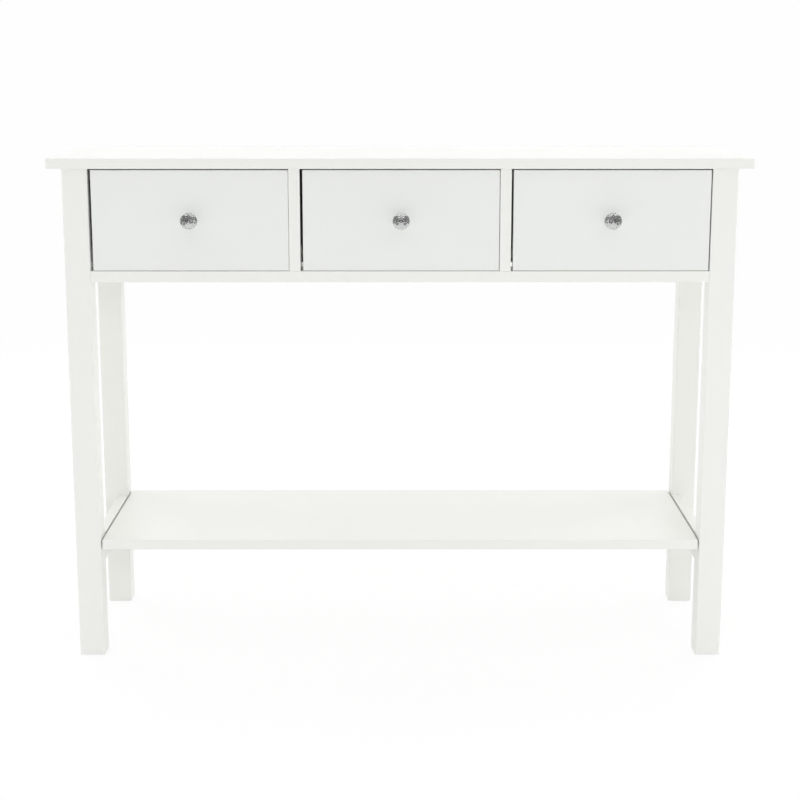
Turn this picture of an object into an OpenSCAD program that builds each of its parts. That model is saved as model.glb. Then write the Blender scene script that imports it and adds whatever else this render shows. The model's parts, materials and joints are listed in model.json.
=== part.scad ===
// Console table with three drawers on roller runners and a lower shelf.
// The origin is on the floor under the middle of the whole table, knobs included.
// X runs to the right, Y to the back and Z up. All sizes are in millimetres.

/* [Table] */
// Width of the tabletop
top_w = 1100; // [900:10:1300]
// Depth of the tabletop
top_d = 350; // [340:5:420]
// Height of the table on its glides
table_h = 814; // [700:1:900]
// Thickness of the tabletop, shelf, panels and drawer fronts
board_t = 16; // [15:0.5:20]
// Thickness of the rail and the dividers around the drawer openings
frame_t = 17.5; // [15:0.5:20]
// Overhang of the tabletop in front of the legs
overhang_front = 5; // [0:1:15]
// Overhang of the tabletop behind the legs
overhang_back = 29; // [5:1:40]
// Overhang of the tabletop at each side
overhang_side = 23; // [5:1:40]
// Width of the small bevel along every exposed board edge
ease = 0.8; // [0.4:0.1:1.2]

/* [Legs] */
// Side of a square leg
leg = 40; // [34:1:50]
// Width of the bevel along a leg's edges
leg_ease = 1.2; // [0.4:0.1:3]
// Height of a foot glide under its leg
glide_h = 2; // [1:0.5:4]
// Diameter of a foot glide
glide_d = 24; // [16:1:30]

/* [Drawer case] */
// Height of the drawer openings
opening_h = 160; // [150:1:200]
// Depth of the flat rail under the drawers, front to back
rail_d = 64; // [45:1:90]
// Distance of the back panel from the back of the legs
back_inset = 2; // [0:1:6]

/* [Drawer fronts] */
// Gap above a drawer front
gap_top = 2; // [1:0.1:4]
// Gap below a drawer front
gap_bottom = 0.5; // [0.5:0.1:4]
// Mean gap at each side of a drawer front
gap_side = 2.5; // [2.5:0.1:5]
// How far the left drawer front hangs to the right of its opening's middle
shift_left = 2.1; // [0:0.1:2.1]
// How far the middle drawer front hangs to the right of its opening's middle
shift_middle = 1.8; // [0:0.1:2.1]
// How far the right drawer front hangs to the right of its opening's middle
shift_right = 0.8; // [0:0.1:2.1]
// Distance of a drawer front behind the front of the legs
front_recess = 1.5; // [0.5:0.5:4]

/* [Drawer boxes] */
// Thickness of a drawer's sides and back
box_t = 12; // [10:1:14]
// Height of a drawer's sides
box_h = 115; // [100:1:120]
// Outside depth of a drawer box behind its front
box_d = 262; // [256:1:266]
// Thickness of a drawer's bottom panel
panel_t = 3; // [3:0.5:4]

/* [Runners] */
// Length of a runner profile
runner_len = 250; // [240:1:250]
// Space between a drawer box and the case at each side
runner_space = 12.7; // [12.7:0.1:13]
// Height of a case profile above the front rail
runner_rise = 12; // [8:1:16]
// Diameter of a runner roller
roller_d = 18; // [16:0.5:18]
// Travel of a drawer
travel = 190; // [150:1:195]

/* [Shelf] */
// Height of the shelf's upper face above the floor
shelf_top = 198.5; // [120:0.5:300]
// Gap between an end of the shelf and the legs
shelf_gap = 2.5; // [1:0.5:4]
// Height of a side stretcher
stretcher_h = 46; // [36:1:60]
// How far a stretcher stands above the shelf
stretcher_rise = 2; // [0:0.5:6]

/* [Knobs] */
// Diameter of a crystal knob
knob_d = 27; // [22:0.5:30]
// Height of a knob above the middle of its drawer front
knob_rise = 1; // [0:0.5:10]
// Height of a knob's metal base
knob_base_h = 8; // [6:0.5:12]

/* [Hidden] */
$fn = 48;
eps = 0.01;
BAYS = ["left", "middle", "right"];
shifts = [shift_left, shift_middle, shift_right];

// Knob: a ball of crystal, cut in rows of facets, seated in the cup of a metal base.
// Each row is given by how far its facets are turned outward (positive) or inward
facets = 12;
facet_reach = 1 / cos(180 / facets);
foot_row = -60;
main_rows = [foot_row, -20, 20, 62];
turned_rows = [-40, 0, 40];
crystal_r = knob_d / 2 / facet_reach;
crystal_centre = 0.9 * crystal_r;
crystal_table = 0.96 * crystal_r;
crystal_len = crystal_centre + crystal_table;
crystal_sink = 1.2;
crystal_foot_r = row_end(foot_row, -crystal_centre).x;
seat_slope = -tan(foot_row) * facet_reach;
seat_clear = 0.05;
seat_floor = 1.6;
pocket_r = 1.6;
pocket_depth = 0.7;
crystal_z = knob_base_h - crystal_sink + seat_clear;
knob_len = crystal_z + crystal_len;
cup_wall = 0.7;
seat_r = crystal_foot_r + seat_clear;
seat_rim_r = seat_r + crystal_sink * seat_slope;
cup_r = seat_rim_r + cup_wall;
screw_r = 2;
screw_head_r = 4;
screw_head_h = 2.4;
screw_end = seat_floor + 0.5;

// Legs, measured from the middle of the whole depth
leg_span = top_d - overhang_front - overhang_back;
depth_all = knob_len - front_recess + leg_span + overhang_back;
leg_front_y = knob_len - front_recess - depth_all / 2;
leg_back_y = leg_front_y + leg_span;
leg_out_x = top_w / 2 - overhang_side;
leg_in_x = leg_out_x - leg;
leg_top_z = table_h - board_t;
span_y0 = leg_front_y + leg;
span_y1 = leg_back_y - leg;

// Drawer case
rail_top_z = leg_top_z - opening_h;
rail_bottom_z = rail_top_z - frame_t;
case_h = leg_top_z - rail_bottom_z;
opening_w = (2 * leg_in_x - 2 * frame_t) / 3;
bay_step = opening_w + frame_t;
divider_x = bay_step / 2;
back_y = leg_back_y - back_inset - board_t;
panel_x = leg_in_x + board_t / 2;

// Drawers
front_w = opening_w - 2 * gap_side;
front_h = opening_h - gap_top - gap_bottom;
front_y = leg_front_y + front_recess;
front_z = rail_top_z + gap_bottom;
box_y = front_y + board_t;
box_w = opening_w - 2 * runner_space;
box_in_w = box_w - 2 * box_t;
groove_d = 5.5;
groove_h = panel_t + 0.3;
panel_in = 5;
panel_rise = 10;
knob_z = front_z + front_h / 2 + knob_rise;

// Runner profiles: u runs from the case wall to the drawer, z up from the profile's foot
sheet = 1.2;
profile_w = 10;
profile_h = 26;
lip_low = 2.8;
lip_high = 2.6;
flange_u = 3;
runner_z = rail_top_z + runner_rise;
runner_y = box_y + 2;
box_z = runner_z + sheet;
top_cut = 26;

// Rollers: the case roller carries the drawer's flange, the drawer roller runs in the case profile
roller_w = 6;
roller_u = 2.2;
roller_clear = 0.1;
roller_end = 11;
rim_w = 1.8;
recess_d = 1.3;
hub_r = 4.4;
pin_r = 2.5;
collar_r = 3.5;
bore_clear = 0.075;
side_clear = 0.3;
head_w = 0.3;
rim_bevel = 0.4;
flange_z = profile_h - 5.2;
case_axis_z = flange_z - roller_clear - roller_d / 2;
drawer_axis_z = sheet + roller_clear + roller_d / 2;
case_roller_y = runner_y + roller_end;
drawer_roller_y = runner_y + runner_len - 2 * roller_end;

// Stop: the drawer roller meets its rear face just past the full travel
stop_h = 3;
stop_l = 3;
stop_gap = 0.3;
stop_rise = roller_d / 2 + roller_clear - stop_h;
stop_y = drawer_roller_y - travel - sqrt(pow(roller_d / 2, 2) - pow(stop_rise, 2)) - stop_gap;

// Screw holes in the runners' webs, as [y, z]
screw_hole_r = 2;
case_screws = [for (t = [0.28, 0.58, 0.88]) [runner_y + t * runner_len, profile_h / 2]];
drawer_screws = [for (t = [0.2, 0.48, 0.76]) [runner_y + t * runner_len, 0.6 * flange_z]];

// Shelf and stretchers
shelf_z = shelf_top - board_t;
shelf_len = 2 * (leg_in_x - shelf_gap);
stretcher_z = shelf_top + stretcher_rise - stretcher_h;

// Dowels, cam bolts and cam locks
dowel_r = 4;
dowel_half = 15;
dowel_clear = 0.05;
dowel_edge = 30;
bolt_r = 3;
bolt_neck_r = 1.8;
bolt_head_r = 3.4;
bolt_head_h = 3;
bolt_sink = 11;
bolt_hole_r = 3.75;
cam_r = 7.5;
cam_h = 12.5;
cam_in = 24;
cam_clear = 0.1;
cam_slot_w = 7.2;
cross_w = 1;
nail_r = 1.2;
nail_len = 12;

function bay_x(i) = (i - 1) * bay_step;

// ---- Where dowels and cam fittings sit ----
// A dowel is [middle of the joint, rotation, shift along itself]

function rail_dowels(s) = [
    for (y = [leg / 4, 3 * leg / 4])
        [[s * leg_in_x, leg_front_y + y, rail_bottom_z + frame_t / 2], [0, 90, 0], 0]
];

function panel_dowels(s) = [
    for (y = [span_y0, span_y1])
        for (z = [rail_bottom_z + dowel_edge, leg_top_z - dowel_edge])
            [[s * panel_x, y, z], [-90, 0, 0], 0]
];

function stretcher_dowels(s) = [
    for (y = [span_y0, span_y1])
        for (z = [stretcher_h / 4, 3 * stretcher_h / 4])
            [[s * panel_x, y, stretcher_z + z], [-90, 0, 0], 0]
];

function back_dowels(s) = [
    for (z = [rail_bottom_z + dowel_edge, leg_top_z - dowel_edge])
        [[s * leg_in_x, back_y + board_t / 2, z], [0, 90, 0], 0]
];

function divider_dowels(s) = concat(
    [for (z = [rail_top_z + dowel_edge, leg_top_z - dowel_edge])
        [[s * divider_x, back_y, z], [-90, 0, 0], -dowel_half / 3]],
    [for (y = [rail_d / 4, 3 * rail_d / 4])
        [[s * divider_x, leg_front_y + y, rail_top_z], [0, 0, 0], dowel_half / 3]]
);

// A cam joint is [middle of the joint on the board with the cam, rotation, gap to the other board].
// In its own axes the bolt runs along +Z into the board and the cam opens towards +X.

function panel_cams(s) = [
    for (y = [span_y0 + leg, span_y1 - leg])
        [[s * panel_x, y, leg_top_z], [180, 0, s < 0 ? 0 : 180], 0]
];

function divider_cams(s) = [
    [[s * divider_x, (leg_front_y + back_y) / 2, leg_top_z], [180, 0, s < 0 ? 180 : 0], 0]
];

function shelf_cams(s) = [
    for (y = [leg_front_y + leg_span / 4, leg_back_y - leg_span / 4])
        [[s * shelf_len / 2, y, shelf_z + board_t / 2], [0, 90, s < 0 ? 0 : 180], shelf_gap]
];

back_cams = [for (x = [-bay_step, 0, bay_step]) [[x, back_y + board_t / 2, leg_top_z], [180, 0, -90], 0]];
top_cams = concat(panel_cams(-1), panel_cams(1), divider_cams(-1), divider_cams(1), back_cams);
all_cams = concat(top_cams, shelf_cams(-1), shelf_cams(1));
function side_dowels(s) = concat(rail_dowels(s), panel_dowels(s), stretcher_dowels(s), back_dowels(s));
all_dowels = [for (s = [-1, 1]) for (d = concat(side_dowels(s), divider_dowels(s))) d];

// ---- Shared shapes ----

// A rectangle with small bevelled corners, centred
module eased_rect(w, h, c = ease) {
    x = w / 2;
    y = h / 2;
    polygon([
        [-x + c, -y], [x - c, -y], [x, -y + c], [x, y - c],
        [x - c, y], [-x + c, y], [-x, y - c], [-x, -y + c]
    ]);
}

// Boards from a low corner, with bevels on the four edges that run along one axis
module bar_x(size) {
    translate([0, size.y / 2, size.z / 2])
        rotate([90, 0, 90])
            linear_extrude(size.x) eased_rect(size.y, size.z);
}

module bar_y(size) {
    translate([size.x / 2, size.y, size.z / 2])
        rotate([90, 0, 0])
            linear_extrude(size.y) eased_rect(size.x, size.z);
}

module bar_z(size, c = ease) {
    translate([size.x / 2, size.y / 2, 0])
        linear_extrude(size.z) eased_rect(size.x, size.y, c);
}

// A board from a low corner with every edge bevelled
module eased_board(size) {
    intersection() {
        bar_x(size);
        bar_y(size);
        bar_z(size);
    }
}

module dowels(list, clear) {
    for (d = list)
        translate(d[0])
            rotate(d[1])
                translate([0, 0, d[2] - dowel_half - clear])
                    cylinder(h = 2 * (dowel_half + clear), r = dowel_r + clear);
}

module at_cams(list) {
    for (j = list)
        translate(j[0])
            rotate(j[1])
                children();
}

// The pocket and the edge bore that a cam joint needs in the board with the cam
module cam_pockets(list) {
    at_cams(list) {
        translate([board_t / 2 - cam_h - cam_clear, 0, cam_in])
            rotate([0, 90, 0])
                cylinder(h = cam_h + 1, r = cam_r);
        translate([0, 0, -1])
            cylinder(h = cam_in + 1, r = bolt_hole_r);
    }
}

// The socket that a cam bolt is screwed into
module bolt_sockets(list) {
    for (j = list)
        at_cams([j])
            translate([0, 0, -j[2] - bolt_sink - cam_clear])
                cylinder(h = bolt_sink + cam_clear + eps, r = bolt_r + dowel_clear);
}

// A cross-shaped recess for a screwdriver, cut down from z = 0
module cross_recess(span, depth) {
    for (a = [0, 90])
        rotate([0, 0, a])
            translate([-span / 2, -cross_w / 2, -depth])
                cube([span, cross_w, depth + 1]);
}

// ---- Frame ----

module tabletop() {
    color("whitesmoke")
        difference() {
            translate([-top_w / 2, leg_front_y - overhang_front, leg_top_z])
                eased_board([top_w, top_d, board_t]);
            bolt_sockets(top_cams);
        }
}

// A square leg; s is -1 on the left and 1 on the right, k is 0 in front and 1 at the back
module table_leg(s, k) {
    x = s * (leg_in_x + leg / 2);
    y = k == 0 ? leg_front_y + leg / 2 : leg_back_y - leg / 2;
    joints = [for (d = side_dowels(s)) if (abs(d[0].y - y) < leg) d];
    color("whitesmoke")
        difference() {
            translate([x - leg / 2, y - leg / 2, glide_h])
                bar_z([leg, leg, leg_top_z - glide_h], leg_ease);
            dowels(joints, dowel_clear);
            translate([x, y, glide_h - eps])
                cylinder(h = nail_len + 1, r = nail_r + dowel_clear);
        }
}

module side_panel(s) {
    color("whitesmoke")
        difference() {
            translate([s * panel_x - board_t / 2, span_y0, rail_bottom_z])
                bar_y([board_t, span_y1 - span_y0, case_h]);
            dowels(panel_dowels(s), dowel_clear);
            cam_pockets(panel_cams(s));
        }
}

module back_panel() {
    color("whitesmoke")
        difference() {
            translate([-leg_in_x, back_y, rail_bottom_z])
                bar_x([2 * leg_in_x, board_t, case_h]);
            for (s = [-1, 1]) {
                dowels(back_dowels(s), dowel_clear);
                dowels(divider_dowels(s), dowel_clear);
            }
            cam_pockets(back_cams);
        }
}

module front_rail() {
    color("whitesmoke")
        difference() {
            translate([-leg_in_x, leg_front_y, rail_bottom_z])
                bar_x([2 * leg_in_x, rail_d, frame_t]);
            for (s = [-1, 1]) {
                dowels(rail_dowels(s), dowel_clear);
                dowels(divider_dowels(s), dowel_clear);
            }
        }
}

module divider(s) {
    color("whitesmoke")
        difference() {
            translate([s * divider_x - frame_t / 2, leg_front_y, rail_top_z])
                bar_z([frame_t, back_y - leg_front_y, opening_h]);
            dowels(divider_dowels(s), dowel_clear);
            cam_pockets(divider_cams(s));
        }
}

module lower_shelf() {
    color("whitesmoke")
        difference() {
            translate([-shelf_len / 2, leg_front_y, shelf_z])
                eased_board([shelf_len, leg_span, board_t]);
            for (s = [-1, 1])
                cam_pockets(shelf_cams(s));
        }
}

module stretcher(s) {
    color("whitesmoke")
        difference() {
            translate([s * panel_x - board_t / 2, span_y0, stretcher_z])
                bar_y([board_t, span_y1 - span_y0, stretcher_h]);
            dowels(stretcher_dowels(s), dowel_clear);
            bolt_sockets(shelf_cams(s));
        }
}

// Nailed glides: a flat disc with a bevelled rim and a nail up into the leg
module foot_glides() {
    color("gainsboro")
        for (s = [-1, 1])
            for (y = [leg_front_y + leg / 2, leg_back_y - leg / 2])
                translate([s * (leg_in_x + leg / 2), y, 0])
                    rotate_extrude()
                        polygon([
                            [0, 0], [glide_d / 2 - glide_h / 2, 0], [glide_d / 2, glide_h / 2],
                            [glide_d / 2, glide_h], [nail_r, glide_h], [nail_r, glide_h + nail_len - nail_r],
                            [0, glide_h + nail_len]
                        ]);
}

module frame_dowels() {
    color("burlywood")
        dowels(all_dowels, 0);
}

module cam_bolts() {
    color("silver")
        for (j = all_cams)
            at_cams([j]) {
                translate([0, 0, -j[2] - bolt_sink])
                    cylinder(h = j[2] + bolt_sink + cam_in - 2 * bolt_head_h, r = bolt_r);
                translate([0, 0, cam_in - 2 * bolt_head_h - eps])
                    cylinder(h = bolt_head_h, r = bolt_neck_r);
                translate([0, 0, cam_in - bolt_head_h - 2 * eps])
                    cylinder(h = bolt_head_h, r = bolt_head_r);
            }
}

module cam_locks() {
    color("silver")
        at_cams(all_cams)
            translate([board_t / 2, 0, cam_in])
                rotate([0, 90, 0])
                    difference() {
                        translate([0, 0, -cam_h])
                            cylinder(h = cam_h, r = cam_r - cam_clear);
                        translate([-bolt_head_h, -cam_slot_w / 2, -board_t / 2 - cam_slot_w / 2])
                            cube([2 * cam_r, cam_slot_w, cam_slot_w]);
                        cross_recess(cam_r, 2);
                    }
}

// ---- Runners ----
// A runner is drawn with u along +X from the case wall, and mirrored for the right-hand wall of a bay

module in_bay(i, s) {
    translate([bay_x(i), 0, runner_z])
        mirror([s > 0 ? 1 : 0, 0, 0])
            translate([-opening_w / 2, 0, 0])
                children();
}

// Screw holes through a web, at [y, z] points
module at_screws(list) {
    for (p = list)
        translate([-1, p.x, p.y])
            rotate([0, 90, 0])
                children();
}

// The pin of a roller: a collar at its root, and a riveted head past the roller
module roller_pin(root_u, tip_u, y, z) {
    low_u = roller_u - side_clear;
    high_u = roller_u + roller_w + side_clear;
    collar_u = root_u < tip_u ? low_u : high_u;
    head_u = root_u < tip_u ? high_u : low_u;
    for (c = [[root_u, tip_u, pin_r], [root_u, collar_u, collar_r], [head_u, tip_u, collar_r]])
        translate([min(c[0], c[1]), y, z])
            rotate([0, 90, 0])
                cylinder(h = abs(c[1] - c[0]), r = c[2]);
}

// A profile along the runner, from its outline in u and z
module rolled(y) {
    translate([0, y + runner_len, 0])
        rotate([90, 0, 0])
            linear_extrude(runner_len)
                children();
}

// The case profile: a channel with lips, whose upper flange starts behind the front roller.
// A pressed stop on its lower flange ends the drawer's travel.
module bay_runner(i, s) {
    in_u = profile_w - sheet;
    color("white")
        in_bay(i, s) {
            difference() {
                rolled(runner_y)
                    polygon([
                        [0, 0], [profile_w, 0], [profile_w, lip_low], [in_u, lip_low], [in_u, sheet],
                        [sheet, sheet], [sheet, profile_h - sheet], [in_u, profile_h - sheet],
                        [in_u, profile_h - lip_high], [profile_w, profile_h - lip_high],
                        [profile_w, profile_h], [0, profile_h]
                    ]);
                translate([sheet, runner_y - 1, profile_h - lip_high - eps])
                    cube([profile_w, top_cut + 1, lip_high + 1]);
                at_screws(case_screws)
                    cylinder(h = sheet + 2, r = screw_hole_r);
            }
            translate([sheet - eps, stop_y - stop_l, sheet - eps])
                cube([in_u - sheet + 2 * eps, stop_l, stop_h + eps]);
            roller_pin(sheet - eps, roller_u + roller_w + side_clear + head_w, case_roller_y, case_axis_z);
        }
}

// The drawer profile: it wraps under the drawer's side, and its outward flange rides on the front roller
module drawer_runner(i, s) {
    web_u = runner_space - sheet;
    color("white")
        in_bay(i, s) {
            difference() {
                rolled(runner_y - 1)
                    polygon([
                        [web_u, 0], [runner_space + box_t, 0], [runner_space + box_t, sheet],
                        [runner_space, sheet], [runner_space, flange_z + sheet],
                        [flange_u, flange_z + sheet], [flange_u, flange_z], [web_u, flange_z]
                    ]);
                at_screws(drawer_screws)
                    translate([0, 0, web_u])
                        cylinder(h = sheet + 2, r = screw_hole_r);
            }
            roller_pin(web_u + eps, roller_u - side_clear - head_w, drawer_roller_y, drawer_axis_z);
        }
}

// A nylon roller with a rim, a thinner web and a hub, on the axis u
module roller() {
    r0 = pin_r + bore_clear;
    r1 = roller_d / 2;
    rotate([0, 90, 0])
        rotate_extrude()
            polygon([
                [r0, 0], [hub_r, 0], [hub_r, recess_d], [r1 - rim_w, recess_d], [r1 - rim_w, 0],
                [r1 - rim_bevel, 0], [r1, rim_bevel], [r1, roller_w - rim_bevel],
                [r1 - rim_bevel, roller_w], [r1 - rim_w, roller_w],
                [r1 - rim_w, roller_w - recess_d], [hub_r, roller_w - recess_d], [hub_r, roller_w],
                [r0, roller_w]
            ]);
}

module roller_pair(i, y, z) {
    color("gainsboro")
        for (s = [-1, 1])
            in_bay(i, s)
                translate([roller_u, y, z])
                    roller();
}

module bay_rollers(i) {
    roller_pair(i, case_roller_y, case_axis_z);
}

module drawer_rollers(i) {
    roller_pair(i, drawer_roller_y, drawer_axis_z);
}

// ---- Drawers ----

module drawer_front(i) {
    color("whitesmoke")
        difference() {
            translate([bay_x(i) + shifts[i] - front_w / 2, front_y, front_z])
                eased_board([front_w, board_t, front_h]);
            translate([bay_x(i) - box_in_w / 2 - groove_d, box_y - groove_d, box_z + panel_rise])
                cube([box_in_w + 2 * groove_d, groove_d + 1, groove_h]);
            translate([bay_x(i) + shifts[i], front_y - 1, knob_z])
                rotate([-90, 0, 0])
                    cylinder(h = board_t + 2, r = screw_r + 0.2);
        }
}

module drawer_side(i, s) {
    color("whitesmoke")
        difference() {
            translate([bay_x(i) + s * (box_w - box_t) / 2 - box_t / 2, box_y, box_z])
                bar_y([box_t, box_d, box_h]);
            translate([bay_x(i) + s * box_in_w / 2 - groove_d, box_y - 1, box_z + panel_rise])
                cube([2 * groove_d, box_d + 2, groove_h]);
        }
}

module drawer_back(i) {
    z0 = panel_rise + groove_h;
    color("whitesmoke")
        translate([bay_x(i) - box_in_w / 2, box_y + box_d - box_t, box_z + z0])
            bar_x([box_in_w, box_t, box_h - z0]);
}

module drawer_bottom(i) {
    z = box_z + panel_rise + (groove_h - panel_t) / 2;
    color("linen")
        translate([bay_x(i) - box_in_w / 2 - panel_in, box_y - panel_in, z])
            cube([box_in_w + 2 * panel_in, box_d + panel_in, panel_t]);
}

// ---- Knobs ----
// A knob is drawn along +Z from the face of its drawer front

module at_knob(i) {
    translate([bay_x(i) + shifts[i], front_y, knob_z])
        rotate([90, 0, 0])
            children();
}

// Turned base: a foot, a waist and a cup that the crystal is glued into, with a glue pocket in its floor
module knob_base(i) {
    waist_r = 0.55 * cup_r;
    cup_z = knob_base_h - crystal_sink;
    bore_z = cup_z - seat_floor;
    pocket_ball_r = (pocket_r ^ 2 + pocket_depth ^ 2) / (2 * pocket_depth);
    pocket_turn = asin(pocket_r / pocket_ball_r);
    pocket_steps = 8;
    color("silver")
        at_knob(i)
            rotate_extrude()
                polygon([
                    [screw_r + dowel_clear, 0], [cup_r, 0], [cup_r, 1], [cup_r - 1, 1.5], [waist_r, 2.5],
                    [waist_r, 3.5], [seat_r, cup_z - 1], [cup_r, cup_z], [cup_r, knob_base_h],
                    [seat_rim_r, knob_base_h], [seat_r, cup_z],
                    for (k = [pocket_steps:-1:0])
                        let (a = pocket_turn * k / pocket_steps)
                            [pocket_ball_r * sin(a), cup_z - pocket_depth + pocket_ball_r * (1 - cos(a))],
                    [0, bore_z], [screw_r + dowel_clear, bore_z]
                ]);
}

// [radius, height] where the facets of a row reach a height above the ball's centre
function row_end(row, height) =
    [(crystal_r - height * sin(row)) / cos(row) * facet_reach, crystal_centre + height];

// [radius, height] where two rows of facets meet
function row_rim(first, second) =
    let (reach = crystal_r / cos((second - first) / 2), middle = (first + second) / 2)
        [reach * cos(middle) * facet_reach, crystal_centre + reach * sin(middle)];

// The solid inside a set of facet rows, from the ball's flat foot to its flat front
module facet_rows(rows) {
    last = len(rows) - 1;
    rotate([0, 0, 180 / facets])
        rotate_extrude($fn = facets)
            polygon([
                [0, 0], row_end(rows[0], -crystal_centre),
                for (k = [1:last]) row_rim(rows[k - 1], rows[k]),
                row_end(rows[last], crystal_table), [0, crystal_len]
            ]);
}

// The crystal: two sets of facet rows, the second turned by half a facet
module knob_crystal(i) {
    color("lightcyan")
        at_knob(i)
            translate([0, 0, crystal_z])
                intersection() {
                    facet_rows(main_rows);
                    rotate([0, 0, 180 / facets])
                        facet_rows(turned_rows);
                }
}

module knob_screw(i) {
    color("silver")
        at_knob(i)
            difference() {
                union() {
                    translate([0, 0, -board_t - screw_head_h])
                        cylinder(h = screw_head_h, r = screw_head_r);
                    translate([0, 0, -board_t - eps])
                        cylinder(h = board_t + knob_base_h - crystal_sink - screw_end, r = screw_r);
                }
                translate([0, 0, -board_t - screw_head_h])
                    rotate([180, 0, 0])
                        cross_recess(1.2 * screw_head_r, 1.2);
            }
}

// ---- The table ----

tabletop();
table_leg(-1, 0);  // leg_front_left
table_leg(1, 0);  // leg_front_right
table_leg(-1, 1);  // leg_rear_left
table_leg(1, 1);  // leg_rear_right
side_panel(-1);  // side_panel_left
side_panel(1);  // side_panel_right
back_panel();
front_rail();
divider(-1);  // divider_left
divider(1);  // divider_right
lower_shelf();
stretcher(-1);  // stretcher_left
stretcher(1);  // stretcher_right
foot_glides();
frame_dowels();
cam_bolts();
cam_locks();
for (i = [0:2]) {
    bay_runner(i, -1);
    bay_runner(i, 1);
    bay_rollers(i);
    drawer_front(i);
    drawer_side(i, -1);
    drawer_side(i, 1);
    drawer_back(i);
    drawer_bottom(i);
    drawer_runner(i, -1);
    drawer_runner(i, 1);
    drawer_rollers(i);
    knob_base(i);
    knob_crystal(i);
    knob_screw(i);
}
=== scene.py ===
import json
import math
import random

import bpy
from mathutils import Matrix, Vector


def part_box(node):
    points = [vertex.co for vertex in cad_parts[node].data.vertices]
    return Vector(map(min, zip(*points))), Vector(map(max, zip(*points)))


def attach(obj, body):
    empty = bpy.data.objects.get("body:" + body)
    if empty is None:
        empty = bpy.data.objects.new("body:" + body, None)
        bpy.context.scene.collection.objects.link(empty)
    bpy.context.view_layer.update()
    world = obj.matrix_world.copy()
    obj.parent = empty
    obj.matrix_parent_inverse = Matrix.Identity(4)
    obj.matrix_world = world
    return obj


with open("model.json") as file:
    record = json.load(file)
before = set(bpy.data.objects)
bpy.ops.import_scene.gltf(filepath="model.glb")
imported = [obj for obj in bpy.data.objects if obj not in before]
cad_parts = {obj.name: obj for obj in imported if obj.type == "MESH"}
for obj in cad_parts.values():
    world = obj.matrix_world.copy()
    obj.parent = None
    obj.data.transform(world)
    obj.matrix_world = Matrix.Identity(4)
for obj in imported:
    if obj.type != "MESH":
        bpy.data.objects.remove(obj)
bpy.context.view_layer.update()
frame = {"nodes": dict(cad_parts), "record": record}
nodes = frame["nodes"]
scene = bpy.context.scene
MM = 0.001
BAYS = ("left", "middle", "right")


# ---------------------------------------------------------------- node helpers

class Graph:
    """A material's node tree, with short calls for the nodes that the finishes share."""

    def __init__(self, name):
        self.material = bpy.data.materials.new(name)
        self.material.use_nodes = True
        self.tree = self.material.node_tree
        self.shader = self.tree.nodes["Principled BSDF"]
        self.coords = self.add("ShaderNodeTexCoord").outputs["Object"]

    def add(self, kind, **settings):
        node = self.tree.nodes.new(kind)
        for key, value in settings.items():
            setattr(node, key, value)
        return node

    def link(self, source, target):
        if isinstance(source, (int, float, tuple, list)):
            target.default_value = source
        else:
            self.tree.links.new(source, target)

    def stretched(self, scale):
        """The object's own coordinates in metres, scaled along each axis."""
        node = self.add("ShaderNodeMapping")
        self.link(self.coords, node.inputs["Vector"])
        node.inputs["Scale"].default_value = scale
        return node.outputs["Vector"]

    def noise(self, scale, detail=2.0, rough=0.5, vector=None):
        node = self.add("ShaderNodeTexNoise")
        self.link(vector or self.coords, node.inputs["Vector"])
        node.inputs["Scale"].default_value = scale
        node.inputs["Detail"].default_value = detail
        node.inputs["Roughness"].default_value = rough
        return node.outputs["Fac"]

    def spread(self, value, low, high, start=0.3, end=0.7):
        """Maps a value from start..end to low..high."""
        node = self.add("ShaderNodeMapRange")
        self.link(value, node.inputs["Value"])
        node.inputs["From Min"].default_value = start
        node.inputs["From Max"].default_value = end
        node.inputs["To Min"].default_value = low
        node.inputs["To Max"].default_value = high
        return node.outputs["Result"]

    def blend(self, factor, first, second):
        """Mixes two colours. A Mix node keeps its colour sockets at 6 and 7, and its colour output at 2."""
        node = self.add("ShaderNodeMix", data_type="RGBA")
        self.link(factor, node.inputs[0])
        self.link(first, node.inputs[6])
        self.link(second, node.inputs[7])
        return node.outputs[2]

    def math(self, operation, first, second=0.0):
        node = self.add("ShaderNodeMath", operation=operation)
        self.link(first, node.inputs[0])
        self.link(second, node.inputs[1])
        return node.outputs[0]

    def edges(self, radius):
        """1 on an edge and 0 on a flat, from how a rounded normal leaves the true one."""
        bevel = self.add("ShaderNodeBevel", samples=4)
        bevel.inputs["Radius"].default_value = radius
        geometry = self.add("ShaderNodeNewGeometry")
        dot = self.add("ShaderNodeVectorMath", operation="DOT_PRODUCT")
        self.link(bevel.outputs["Normal"], dot.inputs[0])
        self.link(geometry.outputs["Normal"], dot.inputs[1])
        return self.spread(dot.outputs["Value"], 1.0, 0.0, 0.85, 0.99)

    def bump(self, height, distance, strength=1.0, below=None):
        node = self.add("ShaderNodeBump")
        node.inputs["Strength"].default_value = strength
        node.inputs["Distance"].default_value = distance
        self.link(height, node.inputs["Height"])
        if below is not None:
            self.link(below, node.inputs["Normal"])
        return node.outputs["Normal"]

    def finish(self, colour, roughness, normal=None, **constants):
        self.link(colour, self.shader.inputs["Base Color"])
        self.link(roughness, self.shader.inputs["Roughness"])
        if normal is not None:
            self.link(normal, self.shader.inputs["Normal"])
        for name, value in constants.items():
            self.shader.inputs[name.replace("_", " ")].default_value = value
        return self.material


def rgb(red, green, blue):
    """A linear colour from 8-bit sRGB values."""
    def linear(value):
        value /= 255
        return value / 12.92 if value <= 0.04045 else ((value + 0.055) / 1.055) ** 2.4
    return (linear(red), linear(green), linear(blue), 1.0)


def shade(colour, factor):
    return tuple(channel * factor for channel in colour[:3]) + (1.0,)


# ---------------------------------------------------------------- finishes

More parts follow.
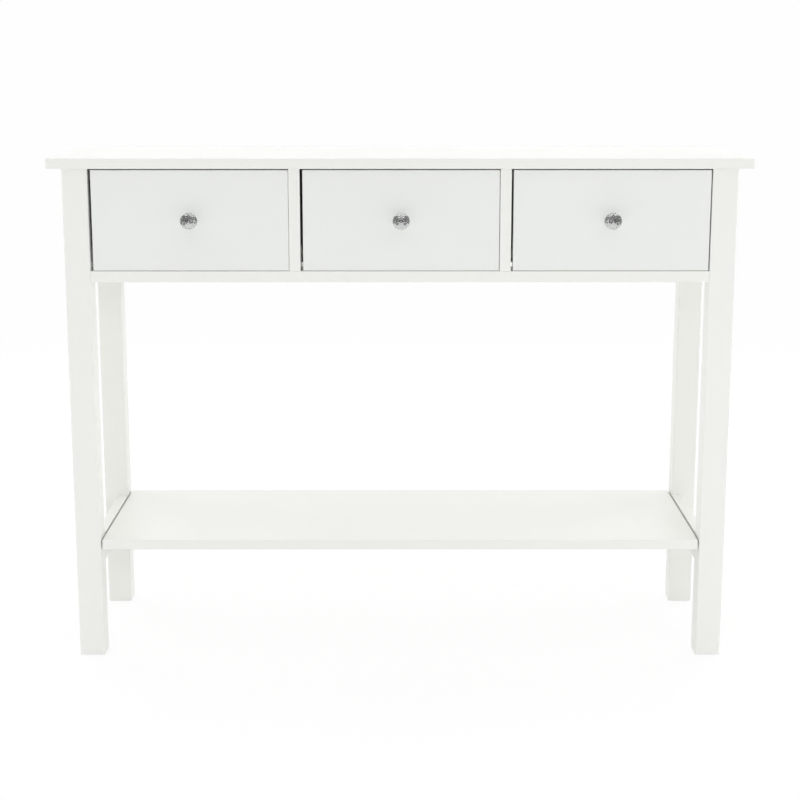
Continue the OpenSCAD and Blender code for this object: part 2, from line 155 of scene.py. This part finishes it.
def sprayed_paint(name, colour, roughness):
    """Satin lacquer on board: a faint drift in tone, orange peel, and a painted highlight along the
    arrises.
    """
    g = Graph(name)
    drift = g.spread(g.noise(3.5, 3), 0.0, 1.0)
    tone = g.blend(drift, shade(colour, 0.992), shade(colour, 1.006))
    speck = g.spread(g.noise(260, 2), 0.0, 0.012, 0.35, 0.75)
    tone = g.blend(speck, tone, shade(colour, 0.8))
    # Painted highlight: the colour is made lighter on the arrises, standing in for light caught by the
    # rounded edges.
    tone = g.blend(g.math("MULTIPLY", g.edges(0.0012), 0.35), tone, shade(colour, 1.03))
    gloss = g.math("ADD", g.spread(g.noise(14, 4), -0.03, 0.03), g.spread(g.noise(420, 2), -0.02, 0.02))
    gloss = g.math("ADD", gloss, roughness)
    peel = g.bump(g.noise(330, 2, 0.4), 0.00006, 0.35)
    flow = g.bump(g.noise(28, 2), 0.0002, 0.12, peel)
    return g.finish(tone, gloss, flow, Specular_IOR_Level=0.5)


def laminate(name, colour):
    """White foil on chipboard: fine pressed texture, with the raw core showing faintly at the edges."""
    g = Graph(name)
    drift = g.spread(g.noise(5, 2), 0.0, 1.0)
    tone = g.blend(drift, shade(colour, 0.985), shade(colour, 1.01))
    tone = g.blend(g.math("MULTIPLY", g.edges(0.0008), 0.5), tone, shade(colour, 0.93))
    pearl = g.noise(900, 3, 0.6)
    gloss = g.spread(pearl, 0.34, 0.5)
    return g.finish(tone, gloss, g.bump(pearl, 0.00008, 0.5), Specular_IOR_Level=0.5)


def hardboard(name, colour, back):
    """Thin hardboard: a white face above and a primed, fibrous face below."""
    g = Graph(name)
    fibre = g.noise(500, 5, 0.7, g.stretched((1.0, 0.5, 1.0)))
    white = g.blend(g.spread(fibre, 0.0, 0.3), colour, shade(colour, 0.94))
    primed = g.blend(g.spread(fibre, 0.0, 1.0), shade(back, 0.9), shade(back, 1.04))
    split = g.add("ShaderNodeSeparateXYZ")
    normal = g.add("ShaderNodeNewGeometry")
    g.link(normal.outputs["True Normal"], split.inputs[0])
    underside = g.math("LESS_THAN", split.outputs["Z"], 0.5)
    tone = g.blend(underside, white, primed)
    return g.finish(tone, g.spread(fibre, 0.42, 0.7), g.bump(fibre, 0.0001, 0.4))


def beech(name, colour):
    """Turned beech: long fine pores and rings along the grain."""
    g = Graph(name)
    grain = g.noise(160, 5, 0.6, g.stretched((0.25, 1.0, 1.0)))
    tone = g.blend(g.spread(grain, 0.0, 1.0), shade(colour, 0.78), shade(colour, 1.12))
    pores = g.noise(1600, 2, 0.5, g.stretched((0.1, 1.0, 1.0)))
    return g.finish(tone, g.spread(pores, 0.5, 0.7), g.bump(pores, 0.00008, 0.5))


def metal(name, colour, roughness, spread, grain_scale, depth):
    """Plated or polished metal: cloudy gloss and fine drawn scratches."""
    g = Graph(name)
    cloud = g.noise(60, 4)
    tone = g.blend(g.spread(cloud, 0.0, 1.0), shade(colour, 0.93), shade(colour, 1.04))
    lines = g.noise(grain_scale, 3, 0.6, g.stretched((1.0, 1.0, 0.08)))
    gloss = g.math("ADD", g.spread(lines, -spread, spread), g.spread(cloud, -spread, spread))
    gloss = g.math("ADD", gloss, roughness)
    return g.finish(tone, gloss, g.bump(lines, depth, 0.4), Metallic=1.0)


def powder_coat(name, colour):
    """Baked epoxy on steel: a soft pebbled skin that thins on folded edges."""
    g = Graph(name)
    pebble = g.noise(1100, 2, 0.5)
    tone = g.blend(g.spread(g.noise(30, 3), 0.0, 1.0), shade(colour, 0.97), shade(colour, 1.02))
    tone = g.blend(g.math("MULTIPLY", g.edges(0.0006), 0.5), tone, shade(colour, 0.85))
    gloss = g.spread(pebble, 0.28, 0.42)
    return g.finish(tone, gloss, g.bump(pebble, 0.00006, 0.5), Specular_IOR_Level=0.5)


def moulded(name, colour, roughness):
    """Moulded plastic: a matt spark-eroded skin with a little light inside."""
    g = Graph(name)
    skin = g.noise(1400, 3, 0.6)
    scuff = g.spread(g.noise(90, 5, 0.7), 0.0, 0.35, 0.5, 0.8)
    tone = g.blend(scuff, colour, shade(colour, 0.88))
    gloss = g.math("ADD", g.spread(skin, -0.06, 0.06), roughness)
    return g.finish(tone, gloss, g.bump(skin, 0.00005, 0.4), Subsurface_Weight=0.05, Subsurface_Scale=0.002)


def cut_crystal(name, colour):
    """Pressed and polished clear crystal: hard facets with a trace of polishing haze."""
    g = Graph(name)
    haze = g.noise(700, 3, 0.6)
    gloss = g.spread(haze, 0.0, 0.03, 0.45, 0.8)
    tone = g.blend(g.spread(g.noise(120, 2), 0.0, 1.0), shade(colour, 0.985), colour)
    return g.finish(tone, gloss, g.bump(haze, 0.00001, 0.15), IOR=1.52, Transmission_Weight=1.0)


FINISHES = {
    "white_paint": sprayed_paint("satin_white_paint", rgb(238, 238.5, 234), 0.4),
    "front_paint": sprayed_paint("drawer_front_paint", rgb(235, 236.5, 233.5), 0.36),
    "drawer_board": laminate("white_foil_board", rgb(236, 236, 232)),
    "drawer_base": hardboard("white_faced_hardboard", rgb(235, 235, 230), rgb(224, 224, 217)),
    "dowel_wood": beech("turned_beech", rgb(214, 181, 133)),
    "zinc_steel": metal("zinc_plate", (0.62, 0.62, 0.64, 1), 0.34, 0.06, 500, 0.00003),
    "runner_paint": powder_coat("white_epoxy", rgb(236, 236, 232)),
    "nylon": moulded("roller_nylon", rgb(232, 231, 224), 0.46),
    "glide_plastic": moulded("glide_plastic", rgb(226, 226, 222), 0.55),
    "knob_metal": metal("polished_chrome", (0.80, 0.80, 0.81, 1), 0.09, 0.03, 900, 0.00001),
    "crystal": cut_crystal("cut_crystal", (0.985, 0.99, 0.98, 1)),
}

slot_of = {part["node"]: part["material_slot"] for part in frame["record"]["subparts"]}


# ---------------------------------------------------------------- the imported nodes

# Finishes whose CAD bevels are rounded further, and by how much.
ROUNDED = ("white_paint", "drawer_board")
BOARD_ROUND = 0.35 * MM
LEG_ROUND = 0.55 * MM
ROUND_FROM = math.radians(25)


def paint(piece, finish):
    """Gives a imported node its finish."""
    for material_slot in piece.material_slots:
        material_slot.material = FINISHES[finish]


def round_edges(piece, width, segments):
    """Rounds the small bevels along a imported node's edges."""
    weld = piece.modifiers.new("weld", "WELD")
    weld.merge_threshold = 0.01 * MM
    bevel = piece.modifiers.new("round", "BEVEL")
    bevel.width = width
    bevel.segments = segments
    bevel.limit_method = "ANGLE"
    bevel.angle_limit = ROUND_FROM
    bevel.use_clamp_overlap = True
    bevel.harden_normals = True


for node, piece in nodes.items():
    finish = slot_of[node]
    paint(piece, "front_paint" if node.endswith("_drawer_front") else finish)
    if node.startswith("leg_"):
        round_edges(piece, LEG_ROUND, 3)
    elif finish in ROUNDED:
        round_edges(piece, BOARD_ROUND, 2)


# Clear crystal lets the light through, so the fronts behind the knobs stay evenly lit.
for bay in BAYS:
    nodes[f"{bay}_knob_crystal"].visible_shadow = False


# ---------------------------------------------------------------- runner screws

SCREW_SIDES = 32
# The outline of a low pan-head screw, as (radius, height above the web) in mm.
# Its neck fills the hole in the web.
SCREW_OUTLINE = ((1.75, -1.15), (1.75, 0.0), (3.3, 0.0), (3.5, 0.2), (3.2, 0.6), (2.4, 0.85))
RECESS_REACH = 1.5
RECESS_HALF_WIDTH = 0.3
RECESS_TAPER = 0.55
RECESS_DEPTH = 0.55
RECESS_POINT = 0.6
WEB = 1.2 * MM
# Where the screws sit along a profile, as shares of its length, and how high on the drawer's profile.
BAY_SCREWS = (0.28, 0.58, 0.88)
DRAWER_SCREWS = (0.2, 0.48, 0.76)
DRAWER_SCREW_SHIFT = 1 * MM
DRAWER_SCREW_HEIGHT = 12.5 * MM
turns = random.Random(7)


def cross_radius(angle):
    """How far a cross recess reaches at an angle, in mm."""
    quarter = math.pi / 2
    off_arm = abs((angle + quarter / 2) % quarter - quarter / 2)
    return min(RECESS_REACH, RECESS_HALF_WIDTH / max(math.sin(off_arm), 0.001))


def screw_shape():
    """The points and faces of one screw head along +Z, in mm, with a cross recess in its top."""
    angles = [math.tau * k / SCREW_SIDES for k in range(SCREW_SIDES)]
    top = SCREW_OUTLINE[-1][1]
    rings = [[(r * math.cos(a), r * math.sin(a), z) for a in angles] for r, z in SCREW_OUTLINE]
    for scale, z in ((1.0, top), (RECESS_TAPER, top - RECESS_DEPTH)):
        radii = [scale * cross_radius(a) for a in angles]
        rings.append([(r * math.cos(a), r * math.sin(a), z) for r, a in zip(radii, angles)])
    points = [point for ring in rings for point in ring]
    foot, recess_point = len(points), len(points) + 1
    points += [(0, 0, SCREW_OUTLINE[0][1]), (0, 0, top - RECESS_POINT)]
    faces = []
    last = (len(rings) - 1) * SCREW_SIDES
    for k in range(SCREW_SIDES):
        after = (k + 1) % SCREW_SIDES
        faces.append((after, k, foot))
        faces.append((last + k, last + after, recess_point))
        for start in range(0, last, SCREW_SIDES):
            above = start + SCREW_SIDES
            faces.append((start + k, start + after, above + after, above + k))
    return points, faces


def screws(name, places, body):
    """One piece of screw heads, each at a (place, +1 or -1 along X), on a body."""
    outline, outline_faces = screw_shape()
    points, faces = [], []
    for place, way in places:
        turn = Matrix.Rotation(turns.uniform(0, math.pi / 2), 4, "Z")
        lay = Matrix.Rotation(way * math.pi / 2, 4, "Y")
        put = Matrix.Translation(place) @ lay @ turn @ Matrix.Scale(MM, 4)
        faces += [[len(points) + index for index in face] for face in outline_faces]
        points += [put @ Vector(point) for point in outline]
    mesh = bpy.data.meshes.new(name)
    mesh.from_pydata(points, [], faces)
    mesh.shade_smooth()
    mesh.set_sharp_from_angle(angle=math.radians(35))
    mesh.materials.append(FINISHES["zinc_steel"])
    piece = bpy.data.objects.new(name, mesh)
    scene.collection.objects.link(piece)
    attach(piece, body)


for bay in BAYS:
    bay_places = []
    drawer_places = []
    for side, way in (("left", 1), ("right", -1)):
        low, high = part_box(f"{bay}_bay_runner_{side}")
        web_x = low.x + WEB if way > 0 else high.x - WEB
        for share in BAY_SCREWS:
            y = low.y + share * (high.y - low.y)
            bay_places.append((Vector((web_x, y, (low.z + high.z) / 2)), way))
        low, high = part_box(f"{bay}_drawer_runner_{side}")
        board_low, board_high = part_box(f"{bay}_drawer_side_{side}")
        web_x = board_low.x - WEB if way > 0 else board_high.x + WEB
        for share in DRAWER_SCREWS:
            y = low.y + DRAWER_SCREW_SHIFT + share * (high.y - low.y)
            drawer_places.append((Vector((web_x, y, low.z + DRAWER_SCREW_HEIGHT)), -way))
    screws(f"{bay}_bay_runner_screws", bay_places, "frame")
    screws(f"{bay}_drawer_runner_screws", drawer_places, f"{bay}_drawer")


# ---------------------------------------------------------------- studio

FLOOR_SIDE = 16.0
# Levels that gloss, glass and the camera see: the white paper, and the unlit studio.
WHITE = 0.99
UNLIT = 0.12
PALE_WALL = 0.8
# The paper under the table: what it reflects, and how much of its glow gives way to real shade.
PAPER_ALBEDO = 0.94
SHADE_SHARE = 0.125
SHADE_ALBEDO = 0.13
# The white paper ends in front of the table, between these two places along Y.
PAPER_END = (-2.75, -2.4)
# Where the shade under the table starts to fade and where it is gone, from the middle of the table.
SHADE_REACH = (1.2, 3.2)

half = FLOOR_SIDE / 2
corners = [(-half, -half, 0), (half, -half, 0), (half, half, 0), (-half, half, 0)]
mesh = bpy.data.meshes.new("studio_floor")
mesh.from_pydata(corners, [], [(0, 1, 2, 3)])
floor = bpy.data.objects.new("studio_floor", mesh)
scene.collection.objects.link(floor)


def seen_rays(g, path):
    """1 for rays that show the background itself: from the camera, in gloss and through glass."""
    seen = g.math("MAXIMUM", path.outputs["Is Camera Ray"], path.outputs["Is Glossy Ray"])
    return g.math("MAXIMUM", seen, path.outputs["Is Transmission Ray"])


def floor_material():
    """White paper that takes the table's shade, but looks evenly white in the camera, gloss and glass."""
    g = Graph("studio_floor")
    paper = g.add("ShaderNodeBsdfDiffuse")
    paper.inputs["Color"].default_value = (PAPER_ALBEDO, PAPER_ALBEDO, PAPER_ALBEDO, 1)
    glow = g.add("ShaderNodeEmission")
    glow.inputs["Color"].default_value = (WHITE, WHITE, WHITE, 1)
    reach = g.add("ShaderNodeVectorMath", operation="LENGTH")
    g.link(g.coords, reach.inputs[0])
    near = g.spread(reach.outputs["Value"], 1.0, 0.0, *SHADE_REACH)
    # Gloss and glass show the unlit studio floor beyond the end of the paper. The camera sees it white.
    path = g.add("ShaderNodeLightPath")
    across = g.add("ShaderNodeSeparateXYZ")
    g.link(g.coords, across.inputs[0])
    paper_end = g.spread(across.outputs["Y"], UNLIT, 1.0, *PAPER_END)
    paper_end = g.math("MAXIMUM", paper_end, path.outputs["Is Camera Ray"])
    shown = g.math("SUBTRACT", 1.0, g.math("MULTIPLY", near, SHADE_SHARE))
    g.link(g.math("MULTIPLY", shown, paper_end), glow.inputs["Strength"])
    dim_paper = g.add("ShaderNodeBsdfDiffuse")
    g.link(g.math("MULTIPLY", near, SHADE_ALBEDO), dim_paper.inputs["Color"])
    both = g.add("ShaderNodeAddShader")
    g.link(dim_paper.outputs[0], both.inputs[0])
    g.link(glow.outputs[0], both.inputs[1])
    pick = g.add("ShaderNodeMixShader")
    g.link(seen_rays(g, path), pick.inputs[0])
    g.link(paper.outputs[0], pick.inputs[1])
    g.link(both.outputs[0], pick.inputs[2])
    output = g.tree.nodes["Material Output"]
    g.link(pick.outputs[0], output.inputs["Surface"])
    g.tree.nodes.remove(g.shader)
    return g.material


mesh.materials.append(floor_material())

world = bpy.data.worlds.new("studio")
scene.world = world
world.use_nodes = True
tree = world.node_tree
# What lights matt surfaces: nothing at the horizon, and this much overhead.
HORIZON_LEVEL = 0.0
ZENITH_LEVEL = 1.0


def world_node(kind, **settings):
    node = tree.nodes.new(kind)
    for key, value in settings.items():
        setattr(node, key, value)
    return node


# Matt surfaces are lit from above. The camera sees plain white, and gloss and glass show a white
# backdrop behind the table, pale walls above the horizon in front of it, and the unlit floor below.
direction = world_node("ShaderNodeTexCoord")
split = world_node("ShaderNodeSeparateXYZ")
tree.links.new(direction.outputs["Generated"], split.inputs[0])


def world_ramp(name, axis, start, end, low, high):
    ramp = world_node("ShaderNodeMapRange", name=name, interpolation_type="SMOOTHSTEP")
    tree.links.new(split.outputs[axis], ramp.inputs["Value"])
    ramp.inputs["From Min"].default_value = start
    ramp.inputs["From Max"].default_value = end
    ramp.inputs["To Min"].default_value = low
    ramp.inputs["To Max"].default_value = high
    return ramp.outputs["Result"]


def world_max(first, second):
    node = world_node("ShaderNodeMath", operation="MAXIMUM")
    tree.links.new(first, node.inputs[0])
    tree.links.new(second, node.inputs[1])
    return node.outputs[0]


path = world_node("ShaderNodeLightPath")
lit = world_ramp("walls", "Z", 0.1, 0.7, HORIZON_LEVEL, ZENITH_LEVEL)
backdrop = world_ramp("backdrop", "Y", -0.3, 0.1, UNLIT, WHITE)
pale_wall = world_ramp("pale_wall", "Z", 0.05, 0.12, UNLIT, PALE_WALL)
mirrored = world_max(backdrop, pale_wall)
shows = world_node("ShaderNodeMix", data_type="FLOAT", name="shows")
tree.links.new(path.outputs["Is Camera Ray"], shows.inputs[0])
tree.links.new(mirrored, shows.inputs[2])
shows.inputs[3].default_value = WHITE
seen = world_max(path.outputs["Is Camera Ray"], path.outputs["Is Transmission Ray"])
seen = world_max(seen, path.outputs["Is Glossy Ray"])
level = world_node("ShaderNodeMix", data_type="FLOAT", name="level")
tree.links.new(seen, level.inputs[0])
tree.links.new(lit, level.inputs[2])
tree.links.new(shows.outputs[0], level.inputs[3])
background = tree.nodes["Background"]
background.inputs["Color"].default_value = (1, 1, 1, 1)
tree.links.new(level.outputs[0], background.inputs["Strength"])


def softbox(name, place, aim, width, height, power, mirrored=False):
    """A large soft lamp. Glass never shows the lamp's own shape, and gloss only where it is mirrored."""
    light = bpy.data.lights.new(name, "AREA")
    light.shape = "RECTANGLE"
    light.size = width
    light.size_y = height
    light.energy = power
    lamp = bpy.data.objects.new(name, light)
    lamp.location = place
    lamp.rotation_euler = (Vector(aim) - Vector(place)).to_track_quat("-Z", "Y").to_euler()
    lamp.visible_camera = False
    lamp.visible_transmission = False
    lamp.visible_glossy = mirrored
    scene.collection.objects.link(lamp)
    return lamp


# Each lamp: name, place, what it aims at, width, height (metres), power (watts), seen in gloss or not
softbox("softbox_front_left", (-2.4, -4.2, 1.5), (0, 0, 0.5), 2.0, 1.6, 24)
softbox("softbox_front_right", (2.4, -4.2, 1.5), (0, 0, 0.5), 2.0, 1.6, 49.5)
softbox("softbox_left", (-4.2, -1.0, 0.9), (0, 0, 0.4), 2.4, 1.6, 17, True)
softbox("softbox_right", (4.2, -1.0, 0.9), (0, 0, 0.4), 2.4, 1.6, 11, True)
softbox("softbox_back", (0, 3.2, 1.9), (0, 0, 0.25), 5.0, 1.4, 17.5, True)
softbox("softbox_back_left", (-3.0, 2.1, 0.9), (0, 0, 0.3), 2.0, 1.4, 34, True)
softbox("softbox_back_right", (3.0, 2.1, 0.9), (0, 0, 0.3), 2.0, 1.4, 33, True)

# The camera, solved together with the table's proportions from the photo's edges
LENS = 74.74
SENSOR_WIDTH = 36.0
CAMERA_X = -0.0014
CAMERA_TO_FRONTS = 2.5985
CAMERA_HEIGHT = 0.9730
LOOKS_DOWN = 11.778
ROLL = 0.005
YAW = -0.031

camera_data = bpy.data.cameras.new("camera")
camera_data.sensor_width = SENSOR_WIDTH
camera_data.lens = LENS
camera_data.clip_end = 60.0
camera = bpy.data.objects.new("camera", camera_data)
camera.location = (CAMERA_X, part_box("leg_front_left")[0].y - CAMERA_TO_FRONTS, CAMERA_HEIGHT)
camera.rotation_euler = (math.radians(90 - LOOKS_DOWN), math.radians(ROLL), math.radians(YAW))
scene.collection.objects.link(camera)
scene.camera = camera

scene.view_settings.view_transform = "Standard"
